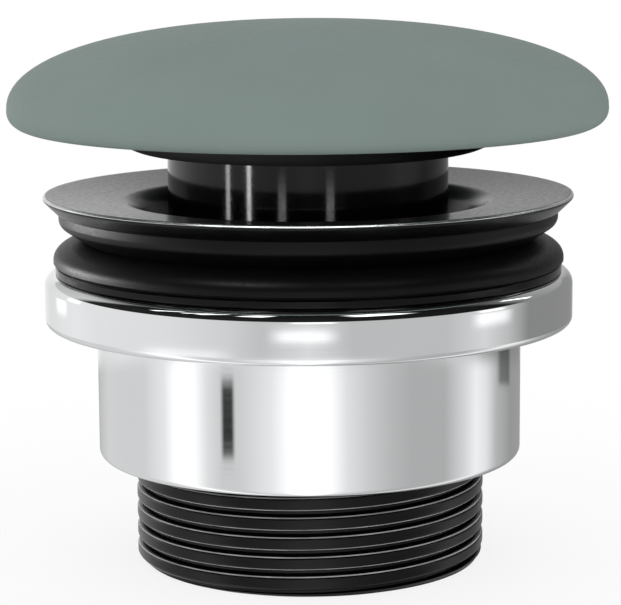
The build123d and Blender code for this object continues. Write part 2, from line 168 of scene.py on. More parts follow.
class WasteSizes(bpy.types.PropertyGroup):
    """Sizes that the frame's boxes don't give."""

    press_travel: length("Press travel", "Travel of the cap from open to shut", 5.8)
    cap_edge_height: length("Cap edge height", "Rise of the cap's rolled lower edge", 2.5)
    cap_edge_width: length("Cap edge width", "Reach of the cap's rolled lower edge", 3.9)
    pocket_radius: length("Pocket radius", "Radius of the pocket for the cap's insert", 9.1)
    pocket_depth: length("Pocket depth", "Depth of the pocket for the cap's insert", 5.6)
    saucer_flat: length("Saucer flat", "Width of the cap seal's flat underside", 1.8)
    bead_depth: length("Bead depth", "Reach of the cap seal's bead into the stem", 1.0)
    bead_height: length("Bead height", "Height of the cap seal's bead", 0.9)
    bead_rounding: length("Bead rounding", "Rounding of the cap seal's bead", 0.2)
    lip_rounding: length("Lip rounding", "Rounding of the seals' thin edges", 0.15)
    play: length("Play", "Gap between the stem and the cap seal", 0.1)
    stem_wall: length("Stem wall", "Wall of the stem's skirt", 1.5)
    stem_roof: length("Stem roof", "Thickness of the stem's roof", 2.2)
    stud_radius: length("Stud radius", "Radius of the hole for the rod in the stem", 4.1)
    stem_roof_rounding: length("Stem roof rounding", "Rounding inside the stem's roof", 0.4)
    inner_rounding: length("Inner rounding", "Rounding of inner edges of the stem, hub and arms", 0.3)
    stem_foot_rounding: length("Stem foot rounding", "Rounding of the stem's outer lower edge", 0.5)
    flange_height: length("Flange height", "Thickness of the flange at its rim", 1.9)
    rim_edge: length("Rim edge", "Height of the rim's upright edge", 0.45)
    # Reach of the painted highlight: rim faces this close to the rim's upper edge get the bright metal band
    rim_highlight_reach: length("Rim line", "Reach of the bright line along the rim's upper edge", 0.23)
    rim_land: length("Rim land", "Width of the level ring round the dish", 0.6)
    rim_undercut: length("Rim undercut", "Run of the slope under the rim", 1.5)
    rim_rounding: length("Rim rounding", "Rounding of the rim's blunt corners", 0.12)
    rim_top_rounding: length("Rim top rounding", "Rounding of the rim's upper edge", 0.25)
    dish_drop: length("Dish drop", "Fall of the dish from rim to throat", 0.9)
    throat_radius: length("Throat radius", "Radius of the flange's throat", 20.7)
    funnel_depth: length("Funnel depth", "Depth of the throat's cone", 6.6)
    throat_rounding: length("Throat rounding", "Rounding from the dish into the throat", 1.57)
    funnel_rounding: length("Funnel rounding", "Rounding where the throat's cone ends", 0.5)
    neck_radius: length("Neck radius", "Radius of the flange's neck inside the seals", 22.3)
    neck_height: length("Neck height", "Height of the flange's neck", 5.5)
    tube_bore: length("Tube bore", "Bore radius of the flange's tube", 18.205)
    hub_height: length("Hub height", "Height of the hub and its arms", 4.0)
    hub_inset: length("Hub inset", "Height of the hub above the tube's end", 1.2)
    hub_bore: length("Hub bore", "Bore radius of the hub", 8.55)
    hub_radius: length("Hub radius", "Outer radius of the hub", 11.15)
    hub_rounding: length("Hub rounding", "Rounding of the hub's outer edges", 0.4)
    arm_width: length("Arm width", "Width of each of the hub's arms", 2.4)
    seal_bore: length("Seal bore", "Bore radius of both seals and the slip ring", 22.5)
    seal_neck: length("Seal neck", "Radius where the two seals meet", 26.8)
    seal_neck_rounding: length("Seal neck rounding", "Rounding of the upper seal's foot", 0.25)
    upper_seal_band: length("Upper seal band", "Height of the upper seal's upright band", 1.5)
    seal_band_rounding: length("Seal band rounding", "Rounding under the upper seal's band", 0.59)
    lower_seal_crown: length("Lower seal crown", "Rise of the lower seal's round shoulder", 2.2)
    lower_seal_foot: length("Lower seal foot", "Bevel at the lower seal's foot", 0.35)
    slip_rounding: length("Slip rounding", "Rounding of the slip ring's outer edges", 0.2)
    collar_height: length("Collar height", "Height of the chrome collar", 6.1)
    collar_ledge: length("Collar ledge", "Thickness of the collar's inner ledge", 1.9)
    collar_top_rounding: length("Collar top rounding", "Rounding of the collar's upper edge", 1.4)
    collar_foot_rounding: length("Collar foot rounding", "Rounding of the collar's lower edge", 0.8)
    collar_corner_rounding: length("Collar corner", "Rounding between sleeve and collar", 0.35)
    sleeve_radius: length("Sleeve radius", "Outer radius of the chrome sleeve", 25.375)
    sleeve_bore: length("Sleeve bore", "Bore radius of the chrome sleeve", 23.675)
    sleeve_rounding: length("Sleeve rounding", "Rounding of the sleeve's outer lower edge", 0.8)
    sleeve_bore_rounding: length("Sleeve bore rounding", "Rounding of the sleeve's inner edge", 0.2)
    thread_radius: length("Thread radius", "Crest radius of the outlet thread", 20.955)
    thread_pitch: length("Thread pitch", "Pitch of the outlet thread, eleven to the inch", 2.309)
    thread_depth: length("Thread depth", "Depth of the outlet thread", 0.86)
    thread_crest: length("Thread crest", "Width of the thread's crest", 1.6)
    thread_rounding: length("Thread rounding", "Rounding of the thread's crest", 0.42)
    thread_start: length("Thread start", "Height at which the thread's ridge sets off", -2.265)
    thread_sink: length("Thread sink", "Reach of the ridge into the tail's wall", 0.3)
    thread_gap: length("Thread gap", "Half the gap between two turns of the ridge", 0.06)
    lead_chamfer: length("Lead chamfer", "Chamfer at the thread's lower end", 0.85)
    # Below this height the thread's crests get no painted highlight
    plain_lead: length("Plain lead", "Height of the thread's lead that no nut has rubbed", 1.8)
    tail_bore: length("Tail bore", "Bore radius of the tail", 17.755)
    tail_rounding: length("Tail rounding", "Rounding of the tail's inner lower edge", 0.5)
    cup_bore: length("Cup bore", "Bore radius of the tail's cup", 21.075)
    cup_low: length("Cup bottom", "Height of the underside of the tail's cup", 13.1)
    cup_floor: length("Cup floor", "Height of the floor inside the tail's cup", 14.7)
    crown_fullness: number("Crown fullness", "2 is an ellipse, more squares the crown's shoulder", 2.2)
    edge_fullness: number("Edge fullness", "2 is an ellipse, more squares the cap's lower edge", 2.4)
    thread_turns: number("Thread turns", "Turns of the ridge, its top ends in the sleeve", 6.6)
    arm_count: bpy.props.IntProperty(
        name="Arms", description="Arms between the hub and the tube", default=4, min=2
    )


class WasteFinishes(bpy.types.PropertyGroup):
    """Colours of the pieces."""

    glaze: colour("Glaze", "Matt grey-green glaze of the cap", "#7D8B87")
    plastic: colour("Black plastic", "Moulded black of the flange, stem and tail", "#060607")
    rubber: colour("Rubber", "Moulded black rubber of the seals", "#0B0B0B")
    slip: colour("Slip ring", "Black of the slip ring under the lower seal", "#050505")
    # Painted highlight: bright metal of the band along the rim's upper edge that stands in for its highlight
    edge: colour("Rim edge", "Bright line along the rim's upper edge", "#D6D7D8")
    # Painted highlight: grey of the lines along the thread's crest roundings
    highlighted: colour("Rubbed thread", "Grey of the thread's rubbed edges", "#A2A2A4")
    chrome: colour("Chrome", "Polished chrome of the collar and sleeve", "#E4E5E6")
    brass: colour("Brass", "Turned brass of the rod and the insert", "#C7A35A")
    steel: colour("Steel", "Stainless steel of nut, clip, pins and spring", "#B9BABC")
    acetal: colour("Acetal", "Natural white of the cam drum", "#E9E8E2")
    housing: colour("Housing", "Grey plastic of the click cartridge", "#8C8F92")


class WasteStudio(bpy.types.PropertyGroup):
    """Camera and stage."""

    camera_side: length("Camera side", "Offset of the camera to the right", 0.2)
    camera_back: length("Camera distance", "Distance of the camera from the axis", 289.6)
    camera_height: length("Camera height", "Height of the camera", 78.9)
    focal_pixels: number("Focal length", "Focal length in pixels of the image's width", 2443.0)
    pitch: number("Pitch", "Angle that the camera looks down", radians(9.45), subtype="ANGLE")
    roll: number("Roll", "Turn of the camera about its view", radians(-0.36), subtype="ANGLE")
    floor_size: length("Floor size", "Side of the square floor", 3000.0)
    lamp_distance: length("Lamp distance", "Distance of the strip lamps from the axis", 200.0)
    shadow_reach: length("Shadow reach", "Distance over which the floor's shadow fades", 150.0)


def oval_wire(bm, oval):
    """Wire along an oval, a vertex spun round a unit circle and stretched."""
    before = len(bm.verts)
    first = radians(oval.first)
    seed = bmesh.ops.create_vert(bm, co=(cos(first), 0, sin(first)))["vert"]
    turn = radians(oval.last) - first
    bmesh.ops.spin(bm, geom=seed, axis=(0, -1, 0), cent=(0, 0, 0), angle=turn, steps=OVAL_STEPS)
    bm.verts.ensure_lookup_table()
    verts = bm.verts[before:]
    for vertex in verts:
        vertex.co.x = copysign(abs(vertex.co.x) ** (2 / oval.fullness), vertex.co.x)
        vertex.co.z = copysign(abs(vertex.co.z) ** (2 / oval.fullness), vertex.co.z)
    bmesh.ops.scale(bm, vec=(oval.width, 1, oval.rise), verts=verts)
    bmesh.ops.translate(bm, vec=(oval.radius, 0, oval.height), verts=verts)
    return verts


def round_off(bm, geom, rounding, steps, affect):
    """Round off vertices or edges, and give the new geometry."""
    return bmesh.ops.bevel(
        bm,
        geom=geom,
        offset=rounding,
        offset_type="OFFSET",
        segments=steps,
        profile=ROUND_PROFILE,
        affect=affect,
        material=-1,
    )


def draw_outline(bm, strokes, closed):
    """Wire through corners and ovals in the XZ plane, with its corners rounded."""
    ends = []
    roundings = []
    for stroke in strokes:
        if isinstance(stroke, Oval):
            verts = oval_wire(bm, stroke)
        else:
            verts = bmesh.ops.create_vert(bm, co=(stroke.radius, 0, stroke.height))["vert"]
            if stroke.rounding:
                roundings.append((verts[0], stroke.rounding))
        ends.append((verts[0], verts[-1]))
    followers = ends[1:] + ends[:1] if closed else ends[1:]
    for (_, last), (first, _) in zip(ends, followers):
        bm.edges.new((last, first))
    for vertex, rounding in roundings:
        round_off(bm, [vertex], rounding, ROUND_STEPS, "VERTICES")


def tidy_shell(bm):
    """Merge doubles and turn the faces outwards."""
    bmesh.ops.remove_doubles(bm, verts=bm.verts[:], dist=MERGE_DISTANCE)
    bmesh.ops.recalc_face_normals(bm, faces=bm.faces[:])


def lathe(*strokes, closed=True):
    """Turned shell from an outline, spun round Z."""
    bm = bmesh.new()
    draw_outline(bm, strokes, closed)
    bmesh.ops.spin(
        bm,
        geom=bm.verts[:] + bm.edges[:],
        axis=(0, 0, 1),
        cent=(0, 0, 0),
        angle=2 * pi,
        steps=SPIN_STEPS,
        use_merge=True,
    )
    tidy_shell(bm)
    return bm


def mesh_from(name, bm):
    """Mesh from a finished shell, which is freed."""
    mesh = bpy.data.meshes.new(name)
    bm.to_mesh(mesh)
    bm.free()
    return mesh


def put(name, data):
    """Object in the scene that shows a mesh, a light or a camera."""
    thing = bpy.data.objects.new(name, data)
    bpy.context.scene.collection.objects.link(thing)
    return thing


def join_shells(shell, extra):
    """Add a second shell to the first one's mesh."""
    mesh = mesh_from("extra_shell", extra)
    shell.from_mesh(mesh)
    bpy.data.meshes.remove(mesh)


def place(name, bm, materials, body, slot, *nodes):
    """Object from a finished shell, riding on a body in place of its nodes."""
    for face in bm.faces:
        face.smooth = True
    for edge in bm.edges:
        edge.smooth = edge.is_manifold and not edge.seam and edge.calc_face_angle() < SHARP_ANGLE
    mesh = mesh_from(name, bm)
    for material in materials:
        mesh.materials.append(material)
    piece = put(name, mesh)
    # Large flats keep their own normals beside small roundings, so mirrors stay true
    shading = piece.modifiers.new("even_shading", "WEIGHTED_NORMAL")
    shading.keep_sharp = True
    shading.weight = FLATS_FIRST
    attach(piece, body)
    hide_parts(*nodes)


def add(tree, kind, values=None, links=None, **settings):
    """Node with its settings, socket values and links."""
    node = tree.nodes.new(kind)
    for name, setting in settings.items():
        setattr(node, name, setting)
    for socket, value in (values or {}).items():
        node.inputs[socket].default_value = value
    for socket, source in (links or {}).items():
        tree.links.new(source, node.inputs[socket])
    return node


def empty_tree(owner):
    """Node tree of a material or a world, with nothing in it."""
    owner.use_nodes = True
    owner.node_tree.nodes.clear()
    return owner.node_tree


def per_metre(millimetres):
    """Pattern scale for a feature of that size."""
    return 1 / (millimetres * MM)


def finish_material(
    name, base, shader_values, *, tone, cloud_mm, grain_mm, roughness, bump_mm, stretch=(1, 1, 1)
):
    """Material with a cloudy tone and a fine grain that roughens and lifts the surface.

    tone is the share by which the colour wanders, roughness its lowest and highest value,
    bump_mm the height of the grain, and stretch scales the grain along X, Y and Z.
    """
    material = bpy.data.materials.new(name)
    tree = empty_tree(material)
    at = add(tree, "ShaderNodeTexCoord").outputs["Object"]
    clouds = {"Scale": per_metre(cloud_mm), "Detail": CLOUD_DETAIL}
    cloud = add(tree, "ShaderNodeTexNoise", clouds, {"Vector": at})
    ramp = add(tree, "ShaderNodeValToRGB", links={"Fac": cloud.outputs["Fac"]})
    ends = ((NOISE_LOW, -1), (NOISE_HIGH, 1))
    for element, (position, sign) in zip(ramp.color_ramp.elements, ends):
        element.position = position
        element.color = [min(1.0, share * (1 + sign * tone)) for share in base[:3]] + [1.0]
    turned = add(tree, "ShaderNodeMapping", {"Scale": stretch}, {"Vector": at})
    grains = {"Scale": per_metre(grain_mm), "Detail": GRAIN_DETAIL}
    grain = add(tree, "ShaderNodeTexNoise", grains, {"Vector": turned.outputs["Vector"]}).outputs["Fac"]
    low, high = roughness
    limits = {"From Min": NOISE_LOW, "From Max": NOISE_HIGH, "To Min": low, "To Max": high}
    rough = add(tree, "ShaderNodeMapRange", limits, {"Value": grain})
    height = {"Strength": 1.0, "Distance": bump_mm * MM}
    lift = add(tree, "ShaderNodeBump", height, {"Height": grain})
    links = {
        "Base Color": ramp.outputs["Color"],
        "Roughness": rough.outputs["Result"],
        "Normal": lift.outputs["Normal"],
    }
    shader = add(tree, "ShaderNodeBsdfPrincipled", shader_values, links)
    add(tree, "ShaderNodeOutputMaterial", links={"Surface": shader.outputs["BSDF"]})
    return material


# Long lines round a turned piece: the grain is drawn out along X and Y and fine along Z
ROUND_LINES = (0.02, 0.02, 1.0)


def matt_glaze(finishes):
    # Satin-matt glaze on fired clay: a wide soft sheen, a faint cloud in its tone, eggshell grain
    return finish_material(
        "matt_glaze", finishes.glaze, {"IOR": 1.5, "Specular IOR Level": 0.16},
        tone=0.025, cloud_mm=16.0, grain_mm=0.7, roughness=(0.55, 0.66), bump_mm=0.004,
    )


def gloss_abs(finishes):
    # Injection-moulded ABS from a polished mould: deep black with clear, narrow reflections
    return finish_material(
        "gloss_abs", finishes.plastic, {"IOR": 1.53, "Specular IOR Level": 0.25},
        tone=0.1, cloud_mm=9.0, grain_mm=0.5, roughness=(0.07, 0.12), bump_mm=0.0004,
    )


def satin_abs(finishes):
    # The same ABS from a grained mould: the black keeps a soft satin sheen, bright only at a slant
    return finish_material(
        "satin_abs", finishes.plastic, {"IOR": 1.53, "Specular IOR Level": 0.18},
        tone=0.1, cloud_mm=9.0, grain_mm=0.5, roughness=(0.15, 0.24), bump_mm=0.0012,
    )


def moulded_rubber(finishes):
    # Compression-moulded EPDM: a dull black with a broad sheen and the grain of its mould
    return finish_material(
        "moulded_rubber", finishes.rubber, {"IOR": 1.5, "Specular IOR Level": 0.13},
        tone=0.15, cloud_mm=6.0, grain_mm=0.35, roughness=(0.34, 0.46), bump_mm=0.005,
    )


def slip_film(finishes):
    # Pressed slip ring of shiny black film: small waves in it break up its reflections
    return finish_material(
        "slip_film", finishes.slip, {"IOR": 1.53, "Specular IOR Level": 0.15},
        tone=0.1, cloud_mm=5.0, grain_mm=2.2, roughness=(0.06, 0.12), bump_mm=0.02,
    )


def bright_edge(finishes):
    # Painted highlight: a thin band of bright metal along the rim's upper edge stands in for the highlight
    # on the black rim, a fine line that mirrors the studio
    return finish_material(
        "bright_edge", finishes.edge, {"Metallic": 1.0},
        tone=0.06, cloud_mm=5.0, grain_mm=1.5, roughness=(0.12, 0.3), bump_mm=0.002,
    )


def rubbed_edge(finishes):
    # Painted highlight: a satin grey along each rounded edge of the thread's crests stands in for the
    # highlights on the black plastic
    return finish_material(
        "rubbed_edge", finishes.highlighted, {"IOR": 1.53, "Specular IOR Level": 0.5},
        tone=0.3, cloud_mm=4.0, grain_mm=0.6, roughness=(0.25, 0.4), bump_mm=0.002,
    )


def polished_chrome(finishes):
    # Bright chrome plate on a polished shell: a mirror with faint lines from the polishing wheel,
    # drawn coarser than real so that they show
    return finish_material(
        "polished_chrome", finishes.chrome, {"Metallic": 1.0},
        tone=0.01, cloud_mm=12.0, grain_mm=0.3, roughness=(0.03, 0.05), bump_mm=0.00001,
        stretch=ROUND_LINES,
    )


def turned_brass(finishes):
    # Lathe-turned brass: warm metal with fine rings from the tool
    return finish_material(
        "turned_brass", finishes.brass, {"Metallic": 1.0},
        tone=0.05, cloud_mm=4.0, grain_mm=0.25, roughness=(0.22, 0.36), bump_mm=0.002,
        stretch=ROUND_LINES,
    )


def stainless_steel(finishes):
    # Rolled stainless steel: grey metal with a soft, slightly uneven shine
    return finish_material(
        "stainless_steel", finishes.steel, {"Metallic": 1.0},
        tone=0.04, cloud_mm=3.0, grain_mm=0.3, roughness=(0.25, 0.4), bump_mm=0.002,
    )


def natural_acetal(finishes):
    # Moulded natural acetal: waxy white with a slippery sheen
    return finish_material(
        "natural_acetal", finishes.acetal, {"IOR": 1.48},
        tone=0.03, cloud_mm=5.0, grain_mm=0.5, roughness=(0.3, 0.42), bump_mm=0.003,
    )


def grey_polypropylene(finishes):
    # Moulded grey polypropylene: an even, slightly waxy grey with a fine mould grain
    return finish_material(
        "grey_polypropylene", finishes.housing, {"IOR": 1.49, "Specular IOR Level": 0.4},
        tone=0.04, cloud_mm=6.0, grain_mm=0.4, roughness=(0.36, 0.5), bump_mm=0.004,
    )


class WASTE_OT_glazed_cap(bpy.types.Operator):
    """Domed ceramic cap with its rolled edge and the pocket for its insert"""

    bl_idname = "waste.glazed_cap"
    bl_label = "Glazed cap"

    def execute(self, context):
        sizes = context.scene.waste_sizes
        cap = span("ceramic_cap")
        widest = cap.low + sizes.cap_edge_height
        pocket_top = cap.low + sizes.pocket_depth
        edge = (sizes.cap_edge_width, sizes.cap_edge_height)
        shell = lathe(
            Corner(0, pocket_top),
            Corner(sizes.pocket_radius, pocket_top),
            Corner(sizes.pocket_radius, cap.low),
            Oval(cap.radius - edge[0], widest, *edge, -90, 0, sizes.edge_fullness),
            Oval(0, widest, cap.radius, cap.high - widest, 0, 90, sizes.crown_fullness),
            closed=False,
        )
        material = matt_glaze(context.scene.waste_finishes)
        place("glazed_cap", shell, [material], "stopper", "cap_ceramic", "ceramic_cap")
        return {"FINISHED"}


class WASTE_OT_saucer_seal(bpy.types.Operator):
    """Rubber saucer under the cap, with the bead that holds it on the stem"""

    bl_idname = "waste.saucer_seal"
    bl_label = "Saucer seal"

    def execute(self, context):
        sizes = context.scene.waste_sizes
        seal = span("cap_seal")
        inner = span("stopper_stem").radius + sizes.play
        flat = inner + sizes.saucer_flat
        middle = (seal.low + seal.high) / 2
        bead_low = middle - sizes.bead_height / 2
        bead_high = middle + sizes.bead_height / 2
        shell = lathe(
            Oval(flat, seal.high, seal.radius - flat, seal.high - seal.low, -90, 0),
            Corner(inner, seal.high),
            Corner(inner, bead_high),
            Corner(inner - sizes.bead_depth, bead_high, sizes.bead_rounding),
            Corner(inner - sizes.bead_depth, bead_low, sizes.bead_rounding),
            Corner(inner, bead_low),
            Corner(inner, seal.low, sizes.lip_rounding),
        )
        material = moulded_rubber(context.scene.waste_finishes)
        place("saucer_seal", shell, [material], "stopper", "rubber", "cap_seal")
        return {"FINISHED"}


class WASTE_OT_stem_bell(bpy.types.Operator):
    """Black bell that carries the cap, with the groove for the seal's bead"""

    bl_idname = "waste.stem_bell"
    bl_label = "Stem bell"

    def execute(self, context):
        sizes = context.scene.waste_sizes
        stem = span("stopper_stem")
        seal = span("cap_seal")
        middle = (seal.low + seal.high) / 2
        groove_half = sizes.bead_height / 2 + sizes.play
        groove = stem.radius - sizes.bead_depth
        bore = stem.radius - sizes.stem_wall
        roof = stem.high - sizes.stem_roof
        shell = lathe(
            Corner(sizes.stud_radius, roof),
            Corner(bore, roof, sizes.stem_roof_rounding),
            Corner(bore, stem.low, sizes.inner_rounding),
            Corner(stem.radius, stem.low, sizes.stem_foot_rounding),
            Corner(stem.radius, middle - groove_half),
            Corner(groove, middle - groove_half),
            Corner(groove, middle + groove_half),
            Corner(stem.radius, middle + groove_half),
            Corner(stem.radius, stem.high),
            Corner(sizes.stud_radius, stem.high),
        )
        material = gloss_abs(context.scene.waste_finishes)
        place("stem_bell", shell, [material], "stopper", "black_plastic", "stopper_stem")
        return {"FINISHED"}


def spider_arms(bm, sizes, low, reach):
    """Bars from the hub out into the tube's wall."""
    inner = (sizes.hub_bore + sizes.hub_radius) / 2
    for number in range(sizes.arm_count):
        arm = bmesh.ops.create_cube(bm, size=1.0)["verts"]
        bmesh.ops.scale(bm, vec=(reach - inner, sizes.arm_width, sizes.hub_height), verts=arm)
        edges = {edge for vertex in arm for edge in vertex.link_edges}
        along = [edge for edge in edges if abs(edge.verts[0].co.x - edge.verts[1].co.x) > sizes.arm_width]
        rounded = round_off(bm, along, sizes.inner_rounding, ARM_STEPS, "EDGES")
        verts = {vertex for face in rounded["faces"] for vertex in face.verts}
        verts.update(vertex for vertex in arm if vertex.is_valid)
        middle = ((inner + reach) / 2, 0, low + sizes.hub_height / 2)
        bmesh.ops.translate(bm, vec=middle, verts=list(verts))
        turn = Matrix.Rotation((number + 0.5) * 2 * pi / sizes.arm_count, 3, "Z")
        bmesh.ops.rotate(bm, cent=(0, 0, 0), matrix=turn, verts=list(verts))


class WASTE_OT_dish_flange(bpy.types.Operator):
    """Black dish flange with its neck, its tube and the spider that holds the cartridge"""

    bl_idname = "waste.dish_flange"
    bl_label = "Dish flange"

    def execute(self, context):
        sizes = context.scene.waste_sizes
        flange = span("flange_body")
        under = flange.high - sizes.flange_height
        throat = flange.high - sizes.dish_drop
        shell = lathe(
            Corner(sizes.tube_bore, flange.low),
            Corner(sizes.thread_radius - sizes.lead_chamfer, flange.low),
            Corner(sizes.thread_radius, flange.low + sizes.lead_chamfer),
            Corner(sizes.thread_radius, under - sizes.neck_height),
            Corner(sizes.neck_radius, under - sizes.neck_height),
            Corner(sizes.neck_radius, under),
            Corner(flange.radius - sizes.rim_undercut, under, sizes.rim_rounding),
            Corner(flange.radius, flange.high - sizes.rim_edge, sizes.rim_rounding),
            Corner(flange.radius, flange.high, sizes.rim_top_rounding),
            Corner(flange.radius - sizes.rim_land, flange.high, sizes.rim_rounding),
            Corner(sizes.throat_radius, throat, sizes.throat_rounding),
            Corner(sizes.tube_bore, throat - sizes.funnel_depth, sizes.funnel_rounding),
        )
        hub_low = flange.low + sizes.hub_inset
        hub_high = hub_low + sizes.hub_height
        hub = lathe(
            Corner(sizes.hub_bore, hub_low, sizes.inner_rounding),
            Corner(sizes.hub_radius, hub_low, sizes.hub_rounding),
            Corner(sizes.hub_radius, hub_high, sizes.hub_rounding),
            Corner(sizes.hub_bore, hub_high, sizes.inner_rounding),
        )
        spider_arms(hub, sizes, hub_low, (sizes.tube_bore + sizes.thread_radius) / 2)
        finishes = context.scene.waste_finishes
        # Painted highlight: faces near the rim's upper edge get the bright metal band
        for face in shell.faces:
            middle = face.calc_center_median()
            off_edge = hypot(hypot(middle.x, middle.y) - flange.radius, middle.z - flange.high)
            face.material_index = int(off_edge < sizes.rim_highlight_reach)
        join_shells(shell, hub)
        materials = [satin_abs(finishes), bright_edge(finishes)]
        place("dish_flange", shell, materials, "upper_body", "black_plastic", "flange_body")
        return {"FINISHED"}


class WASTE_OT_basin_seals(bpy.types.Operator):
    """The cone seal over the basin, the domed seal under it and the slip ring"""

    bl_idname = "waste.basin_seals"
    bl_label = "Basin seals"

    def execute(self, context):
        sizes = context.scene.waste_sizes
        rubber = moulded_rubber(context.scene.waste_finishes)
        cone = span("upper_seal")
        shell = lathe(
            Corner(sizes.seal_bore, cone.low),
            Corner(sizes.seal_neck, cone.low, sizes.seal_neck_rounding),
            Corner(cone.radius, cone.high - sizes.upper_seal_band, sizes.seal_band_rounding),
            Corner(cone.radius, cone.high, sizes.lip_rounding),
            Corner(sizes.seal_bore, cone.high),
        )
        place("cone_seal", shell, [rubber], "upper_body", "rubber", "upper_seal")
        dome = span("lower_seal")
        side = dome.high - sizes.lower_seal_crown
        shell = lathe(
            Corner(sizes.seal_bore, dome.low),
            Corner(dome.radius - sizes.lower_seal_foot, dome.low),
            Corner(dome.radius, dome.low + sizes.lower_seal_foot),
            Oval(sizes.seal_neck, side, dome.radius - sizes.seal_neck, sizes.lower_seal_crown, 0, 90),
            Corner(sizes.seal_bore, dome.high),
        )
        place("dome_seal", shell, [rubber], "clamp_rings", "rubber", "lower_seal")
        band = span("slip_ring")
        shell = lathe(
            Corner(sizes.seal_bore, band.low),
            Corner(band.radius, band.low, sizes.slip_rounding),
            Corner(band.radius, band.high, sizes.slip_rounding),
            Corner(sizes.seal_bore, band.high),
        )
        slip = slip_film(context.scene.waste_finishes)
        place("slip_band", shell, [slip], "clamp_rings", "black_slip", "slip_ring")
        return {"FINISHED"}


class WASTE_OT_chrome_collar(bpy.types.Operator):
    """Chrome collar and sleeve in one polished shell"""

    bl_idname = "waste.chrome_collar"
    bl_label = "Chrome collar"

    def execute(self, context):
        sizes = context.scene.waste_sizes
        shell_span = span("collar_sleeve")
        collar_low = shell_span.high - sizes.collar_height
        ledge = shell_span.high - sizes.collar_ledge
        shell = lathe(
            Corner(sizes.sleeve_bore, shell_span.low, sizes.sleeve_bore_rounding),
            Corner(sizes.sleeve_radius, shell_span.low, sizes.sleeve_rounding),
            Corner(sizes.sleeve_radius, collar_low, sizes.collar_corner_rounding),
            Corner(shell_span.radius, collar_low, sizes.collar_foot_rounding),
            Corner(shell_span.radius, shell_span.high, sizes.collar_top_rounding),
            Corner(sizes.seal_bore, shell_span.high),
            Corner(sizes.seal_bore, ledge),
            Corner(sizes.sleeve_bore, ledge),
        )
        # The wall stays a true cylinder to the eye where its lower rounding starts
        wall_foot = collar_low + sizes.collar_foot_rounding
        for edge in shell.edges:
            edge.seam = all(abs(vertex.co.z - wall_foot) < MERGE_DISTANCE for vertex in edge.verts)
        material = polished_chrome(context.scene.waste_finishes)
        place("chrome_collar", shell, [material], "lower_unit", "chrome", "collar_sleeve")
        return {"FINISHED"}


# Slope of the faces round a thread's edge that get the painted highlight
HIGHLIGHT_SLOPE = (0.5, 0.78)


def thread_ridge(sizes):
    """Ridge of the outlet thread, wound up round the tail and trimmed at its end."""
    bm = bmesh.new()
    foot = sizes.thread_radius - sizes.thread_depth - sizes.thread_sink
    flank = (sizes.thread_pitch - sizes.thread_crest) / 2 - sizes.thread_gap
    half = sizes.thread_crest / 2
    start = sizes.thread_start
    strokes = (
        Corner(foot, start - half - flank),
        Corner(sizes.thread_radius, start - half, sizes.thread_rounding),
        Corner(sizes.thread_radius, start + half, sizes.thread_rounding),
        Corner(foot, start + half + flank),
    )
    draw_outline(bm, strokes, True)
    steps = round(THREAD_STEPS * sizes.thread_turns)
    first_end = bm.edges[:]
    spun = bmesh.ops.spin(
        bm,
        geom=bm.verts[:] + bm.edges[:],
        axis=(0, 0, 1),
        cent=(0, 0, 0),
        dvec=(0, 0, sizes.thread_pitch * sizes.thread_turns / steps),
        angle=2 * pi * sizes.thread_turns,
        steps=steps,
    )
    last_end = [item for item in spun["geom_last"] if isinstance(item, bmesh.types.BMEdge)]
    bmesh.ops.contextual_create(bm, geom=first_end)
    bmesh.ops.contextual_create(bm, geom=last_end)
    for vertex in bm.verts:
        reach = hypot(vertex.co.x, vertex.co.y)
        lead = sizes.thread_radius - sizes.lead_chamfer + max(vertex.co.z, 0)
        if reach > lead:
            vertex.co.x *= lead / reach
            vertex.co.y *= lead / reach
    everything = bm.verts[:] + bm.edges[:] + bm.faces[:]
    bmesh.ops.bisect_plane(bm, geom=everything, plane_co=(0, 0, 0), plane_no=(0, 0, -1), clear_outer=True)
    open_edges = [edge for edge in bm.edges if edge.is_boundary]
    bmesh.ops.holes_fill(bm, edges=open_edges, sides=0)
    tidy_shell(bm)
    # Painted highlight: crest faces at that slope, above the plain lead, get the grey finish
    crest = sizes.thread_radius - sizes.thread_rounding
    for face in bm.faces:
        middle = face.calc_center_median()
        on_edge = hypot(middle.x, middle.y) > crest and middle.z > sizes.plain_lead
        face.material_index = int(on_edge and HIGHLIGHT_SLOPE[0] < abs(face.normal.z) < HIGHLIGHT_SLOPE[1])
    return bm


class WASTE_OT_threaded_tail(bpy.types.Operator):
    """Black tail with the cup for the flange's tube above and the outlet thread below"""

    bl_idname = "waste.threaded_tail"
    bl_label = "Threaded tail"

    def execute(self, context):
        sizes = context.scene.waste_sizes
        tail = span("tail_piece")
        root = sizes.thread_radius - sizes.thread_depth
        shell = lathe(
            Corner(sizes.tail_bore, tail.low, sizes.tail_rounding),
            Corner(root, tail.low),
            Corner(root, sizes.cup_low),
            Corner(tail.radius, sizes.cup_low),
            Corner(tail.radius, tail.high),
            Corner(sizes.cup_bore, tail.high),
            Corner(sizes.cup_bore, sizes.cup_floor),
            Corner(sizes.tail_bore, sizes.cup_floor),
        )
        join_shells(shell, thread_ridge(sizes))
        finishes = context.scene.waste_finishes
        materials = [satin_abs(finishes), rubbed_edge(finishes)]
        place("threaded_tail", shell, materials, "lower_unit", "black_plastic", "tail_piece")
        return {"FINISHED"}


